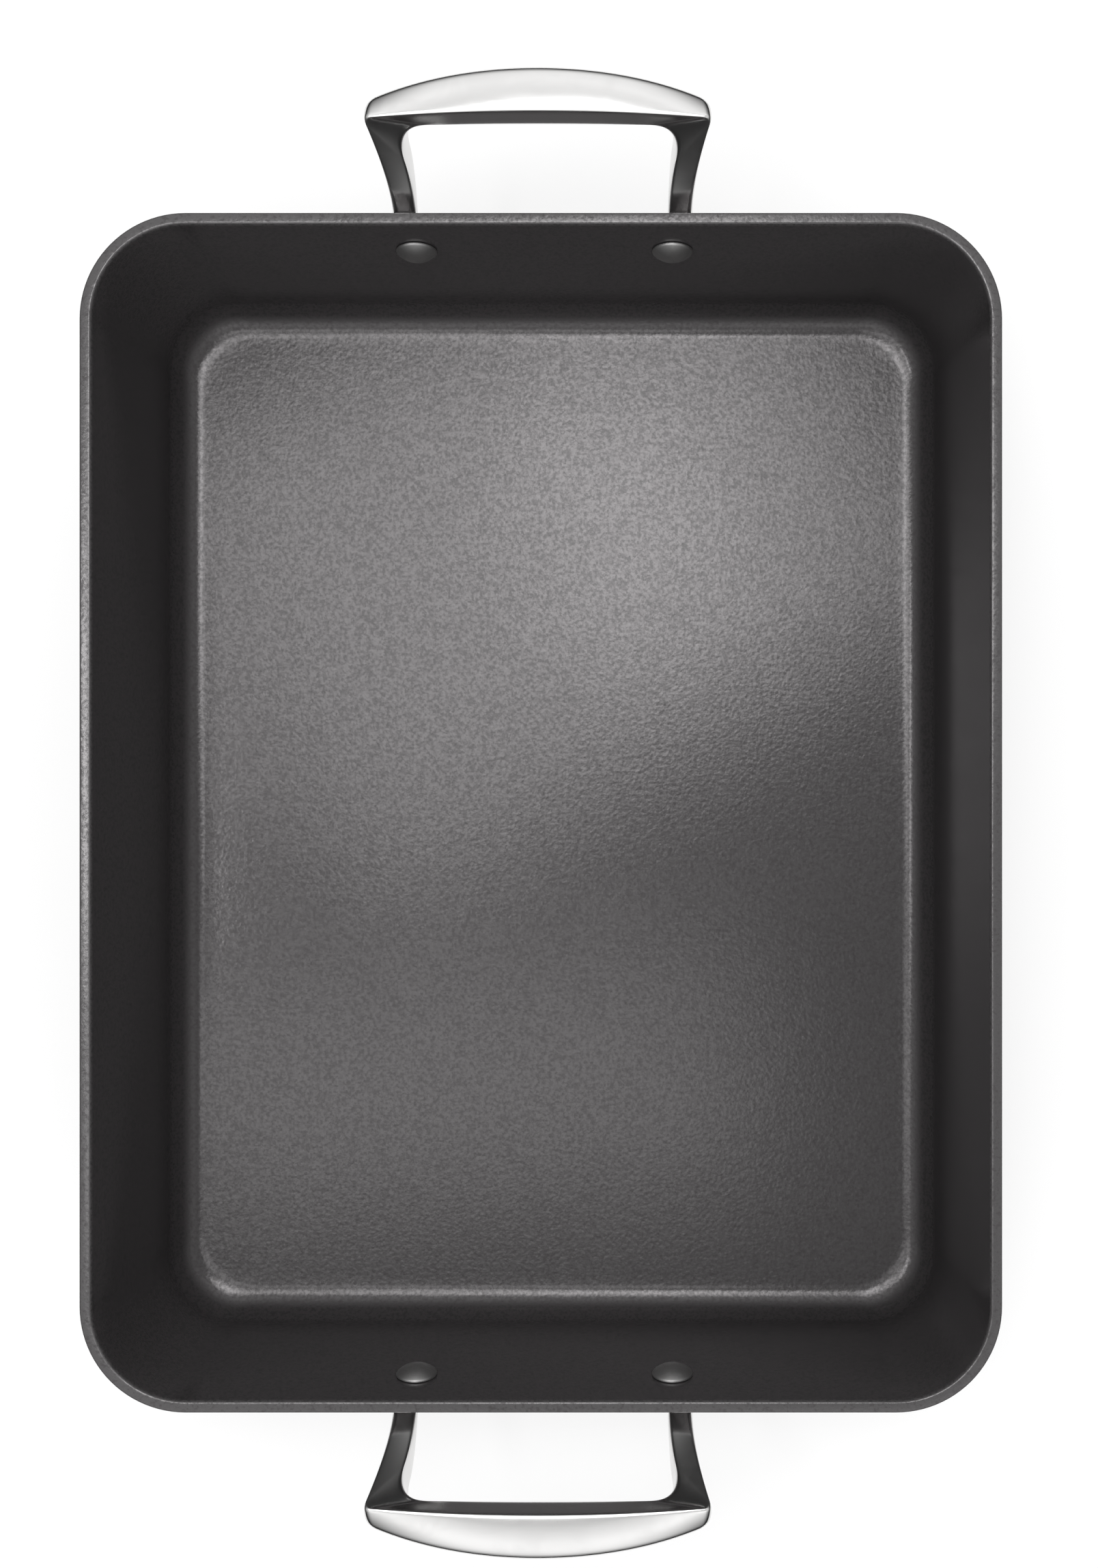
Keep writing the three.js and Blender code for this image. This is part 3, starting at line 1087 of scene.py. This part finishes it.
    def flared(self, ring: list[Vector]) -> list[Vector]:
        """Widens a section near the tab, so that the leg runs into it in a cast fillet.

        Args:
            ring: Points of the section.

        Returns:
            The points, moved outwards near the tab.
        """
        centre = sum(ring, Vector()) / len(ring)
        ahead = (self.rivet.place(self.shell, 1).inverted() @ centre).y - self.tab_front
        short = min(max(1 - ahead / self.root_flare, 0), 1)
        grow = self.root_flare * (1 - math.sqrt(1 - short ** 2))
        return [point + (point - centre).normalized() * grow for point in ring]

    def bar(self) -> Piece:
        """Lofts both legs and the grip along the four edges.

        Returns:
            The bar, on the rear wall.
        """
        bm = bmesh.new()
        rails = self.rails()
        loops = []
        for stretch, count in zip(Stretch, self.steps):
            last = stretch is Stretch.GRIP
            for step in range(count + last):
                share = step / count
                past_leg = stretch.value + share - Stretch.BEND.value
                swell = min(max(past_leg / Stretch.GRIP.value, 0), 1)
                shape = self.leg_section.towards(self.grip_section, ease(swell))
                ring = self.section([rail.at(stretch, share) for rail in rails], shape)
                if stretch is Stretch.LEG:
                    ring = self.flared(ring)
                loops.append(closed_loop(bm, ring))
        skin_loops(bm, loops)
        bmesh.ops.edgeloop_fill(bm, edges=loops[0])
        bmesh.ops.mirror(bm, geom=[*bm.verts, *bm.edges, *bm.faces], axis="X", merge_dist=HAIR)
        axes = {f"use_axis_{axis}": True for axis in "xyz"}
        for _ in range(self.even_rounds):
            bmesh.ops.smooth_vert(bm, verts=bm.verts, factor=self.even_share, **axes)
        bmesh.ops.recalc_face_normals(bm, faces=bm.faces)
        return object_from(bm, "handle_bar")

    def tabs(self) -> Piece:
        """Builds both tabs: a round about the rivet, drawn up to a crown at the leg's root.

        Returns:
            The tabs, on the rear wall.
        """
        bm = bmesh.new()
        crown = self.root_width / 2 + self.tab_margin
        crown_place = Vector((self.root_offset, 0, self.root_top - crown))
        lean = math.atan2(crown_place.z, crown_place.x)
        spread = math.acos((self.tab_radius - crown) / crown_place.length)
        rounds = (
            (crown_place, crown, lean - spread, 2 * spread, self.crown_steps),
            (Vector(), self.tab_radius, lean + spread, math.tau - 2 * spread, self.tab_steps),
        )
        outline = []
        for centre, radius, begin, sweep, steps in rounds:
            ray = Vector((math.cos(begin), 0, math.sin(begin)))
            outline += arc(bm, centre, centre + ray * radius, sweep, steps)
        bmesh.ops.delete(bm, geom=list(bm.edges), context="EDGES_FACES")
        plate = bm.faces.new(outline)
        body = bmesh.ops.extrude_face_region(bm, geom=[plate])["geom"]
        front = [item for item in body if isinstance(item, bmesh.types.BMVert)]
        bmesh.ops.translate(bm, vec=(0, self.tab_thickness, 0), verts=front)
        rims = [edge for edge in bm.edges if abs(edge.verts[0].co.y - edge.verts[1].co.y) < HAIR]
        round_off(bm, rims, self.tab_bevel, self.bevel_steps, "EDGES")
        bmesh.ops.translate(bm, vec=(0, self.tab_back, 0), verts=bm.verts)
        bm.transform(self.rivet.place(self.shell, 1))
        bmesh.ops.mirror(bm, geom=[*bm.verts, *bm.edges, *bm.faces], axis="X", merge_dist=0)
        bmesh.ops.recalc_face_normals(bm, faces=bm.faces)
        return object_from(bm, "handle_tabs")

    def build(self, end: End) -> Piece:
        """Builds the casting: bar and tabs in one piece, drilled for its rivets.

        Args:
            end: End that the handle is at.

        Returns:
            The handle.
        """
        casting = self.bar()
        carve(casting, self.tabs(), "UNION")
        carve(casting, self.rivet.drills(self.shell, [End.REAR]), "DIFFERENCE")
        bm = bmesh.new()
        bm.from_mesh(casting.data)
        bpy.data.objects.remove(casting, do_unlink=True)
        bm.transform(end.turn)
        fit_box(bm, f"{end.label}_handle")
        piece = object_from(bm, f"{end.label}_loop")
        smooth_shade(piece, self.crisp)
        return piece


# Studio


@dataclass(frozen=True)
class SoftBox:
    """A rectangular soft light that shines down, or sideways where it is tilted.

    A screened one lights matt surfaces and doesn't show in gloss.
    """

    name: str
    place: Place
    size: Span
    glow: float
    turn: float = 0.0
    tilt: float = 0.0
    screened: bool = False

    def build(self) -> None:
        """Hangs the light, with its power found from how bright its face is."""
        data = bpy.data.lights.new(self.name, "AREA")
        data.shape = "RECTANGLE"
        data.size, data.size_y = self.size
        data.energy = self.glow * math.pi * self.size[0] * self.size[1]
        lamp = bpy.data.objects.new(self.name, data)
        lamp.visible_glossy = not self.screened
        bpy.context.scene.collection.objects.link(lamp)
        turned = Matrix.Rotation(self.turn, 4, "Z") @ Matrix.Rotation(self.tilt, 4, "Y")
        lamp.matrix_world = Matrix.Translation(self.place) @ turned


@dataclass(frozen=True)
class Studio:
    """Plain pale floor, soft overhead light and a camera that looks straight down."""

    floor_size: float = 2.0
    floor_colour: Colour = (0.4, 0.4, 0.4, 1)
    floor_lift: float = 0.64
    sky: tuple[Span, ...] = (
        (0.0, 0.03), (0.28, 0.03), (0.42, 0.22), (0.58, 0.5), (0.7, 0.88),
        (0.77, 1.15), (0.84, 1.2), (0.92, 0.8), (0.965, 0.6), (1.0, 0.57),
    )
    left_shade: Place = (-0.6, -0.2, 0.7)
    right_shade: Place = (0.1, 0.7, 0.62)
    lamps: tuple[SoftBox, ...] = (
        SoftBox("key_softbox", (-0.012, 0.294, 1.5), (0.195, 0.297), 3.4, math.radians(20)),
        SoftBox("wide_softbox", (-0.088, 0.303, 1.51), (0.729, 0.554), 3.85, math.radians(29)),
        SoftBox("left_softbox", (-0.592, 0.062, 1.5), (0.14, 0.43), 9.5, math.radians(9)),
        SoftBox("front_softbox", (-0.221, -0.301, 1.5), (0.7, 0.26), 2.0, math.radians(5)),
        SoftBox("rear_fill", (0.0, 0.95, 1.5), (1.2, 0.4), 0.1),
        SoftBox("front_fill", (0.0, -1.0, 1.5), (1.2, 0.6), 0.2),
    )
    panel_place: Place = (0.75, 1.28, 0.44)
    panel_size: Span = (0.24, 1.1)
    panels: tuple[tuple[str, int, int, float, float], ...] = (
        ("rear_right_panel", 1, 1, 9.5, math.radians(60)),
        ("rear_left_panel", -1, 1, 4.5, math.radians(120)),
        ("front_left_panel", -1, -1, 4.5, math.radians(240)),
        ("front_right_panel", 1, -1, 9.5, math.radians(300)),
    )
    camera_place: Place = (0.0384, 0.003, 0.67)
    camera_sensor: float = 36.0
    camera_lens: float = 47.13
    camera_shift: Span = (-0.0785, 0.0118)

    def low_panels(self) -> list[SoftBox]:
        """Sets out the low panels, which light the walls of the pan from the sides."""
        out, along, up = self.panel_place
        return [
            SoftBox(name, (x * out, y * along, up), self.panel_size, glow, turn, math.pi / 2, True)
            for name, x, y, glow, turn in self.panels
        ]

    def floor(self) -> None:
        """Lays the floor: pale, white to the camera and in gloss, with the pan's shadow kept."""
        bm = bmesh.new()
        bmesh.ops.create_grid(bm, x_segments=1, y_segments=1, size=self.floor_size / 2)
        piece = object_from(bm, "studio_floor")
        material, pen = new_material("pale_floor")
        path = pen.node("ShaderNodeLightPath").outputs
        seen = pen.sum("MAXIMUM", path["Is Camera Ray"], path["Is Glossy Ray"])
        lift = pen.sum("MULTIPLY", seen, self.floor_lift)
        matt = pen.node("ShaderNodeBsdfDiffuse", {"Color": self.floor_colour})
        glow = pen.node("ShaderNodeEmission", {"Strength": lift})
        both = pen.node("ShaderNodeAddShader", {0: matt.outputs[0], 1: glow.outputs[0]})
        pen.node("ShaderNodeOutputMaterial", {"Surface": both.outputs[0]})
        piece.data.materials.append(material)

    def surroundings(self) -> None:
        """Sets the room: white to the camera, with a soft ceiling and dark walls."""
        world = bpy.data.worlds.new("studio_room")
        world.use_nodes = True
        world.node_tree.nodes.clear()
        pen = NodePen(world.node_tree)
        ray = pen.node("ShaderNodeTexCoord").outputs["Generated"]
        heading = pen.node("ShaderNodeSeparateXYZ", {"Vector": ray}).outputs
        ramp = pen.node("ShaderNodeValToRGB", {"Fac": heading["Z"]})
        stops = ramp.color_ramp.elements
        while len(stops) < len(self.sky):
            stops.new(1.0)
        for stop, (position, level) in zip(stops, self.sky):
            stop.position = position
            stop.color = (level, level, level, 1)
        dark, light, level = self.left_shade
        left = pen.span(heading["X"], dark, light, level, 1.0)
        light, dark, level = self.right_shade
        right = pen.span(heading["X"], light, dark, 1.0, level)
        shade = pen.sum("MULTIPLY", left, right)
        inputs = {"Color": ramp.outputs["Color"], "Strength": shade}
        room = pen.node("ShaderNodeBackground", inputs)
        white = pen.node("ShaderNodeBackground", {"Color": (1, 1, 1, 1)})
        path = pen.node("ShaderNodeLightPath").outputs
        inputs = {0: path["Is Camera Ray"], 1: room.outputs[0], 2: white.outputs[0]}
        shown = pen.node("ShaderNodeMixShader", inputs)
        pen.node("ShaderNodeOutputWorld", {"Surface": shown.outputs[0]})
        bpy.context.scene.world = world

    def camera(self) -> None:
        """Hangs the camera over the pan."""
        data = bpy.data.cameras.new("camera")
        data.sensor_width = self.camera_sensor
        data.lens = self.camera_lens
        data.shift_x, data.shift_y = self.camera_shift
        camera = bpy.data.objects.new("camera", data)
        camera.location = self.camera_place
        bpy.context.scene.collection.objects.link(camera)
        bpy.context.scene.camera = camera

    def build(self) -> None:
        """Builds the whole studio."""
        self.camera()
        self.floor()
        self.surroundings()
        for lamp in (*self.lamps, *self.low_panels()):
            lamp.build()
        bpy.context.scene.view_settings.view_transform = "Standard"


# Assembly


def install(piece: Piece, node: str, finish: bpy.types.Material) -> None:
    """Dresses a piece and puts it in the place of its solid.

    Args:
        piece: Piece to install.
        node: Solid that it stands for.
        finish: Material of the piece.
    """
    piece.data.materials.clear()
    piece.data.materials.append(finish)
    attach(piece, BODY)
    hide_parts(node)
    LOG.info("%s stands for %s with %d faces", piece.name, node, len(piece.data.polygons))


def main() -> None:
    """Builds the studio, the shell, the handles and the rivets, in that order."""
    logging.basicConfig(level=logging.INFO, format="%(message)s")
    Studio().build()
    effects = SurfaceEffects()
    coat = NonStickCoat().material(effects)
    handle_steel = HANDLE_STEEL.material(effects)
    rivet_steel = RIVET_STEEL.material(effects)
    shell = PanShell()
    rivet = Rivet()
    handle = LoopHandle(shell, rivet)
    install(shell.build(rivet.drills(shell, list(End))), "pan_body", coat)
    for end in End:
        install(handle.build(end), f"{end.label}_handle", handle_steel)
        for side in Side:
            piece = rivet.build(shell, end, side, handle.tab_front)
            install(piece, rivet.node(end, side), rivet_steel)


if __name__ == "__main__":
    main()
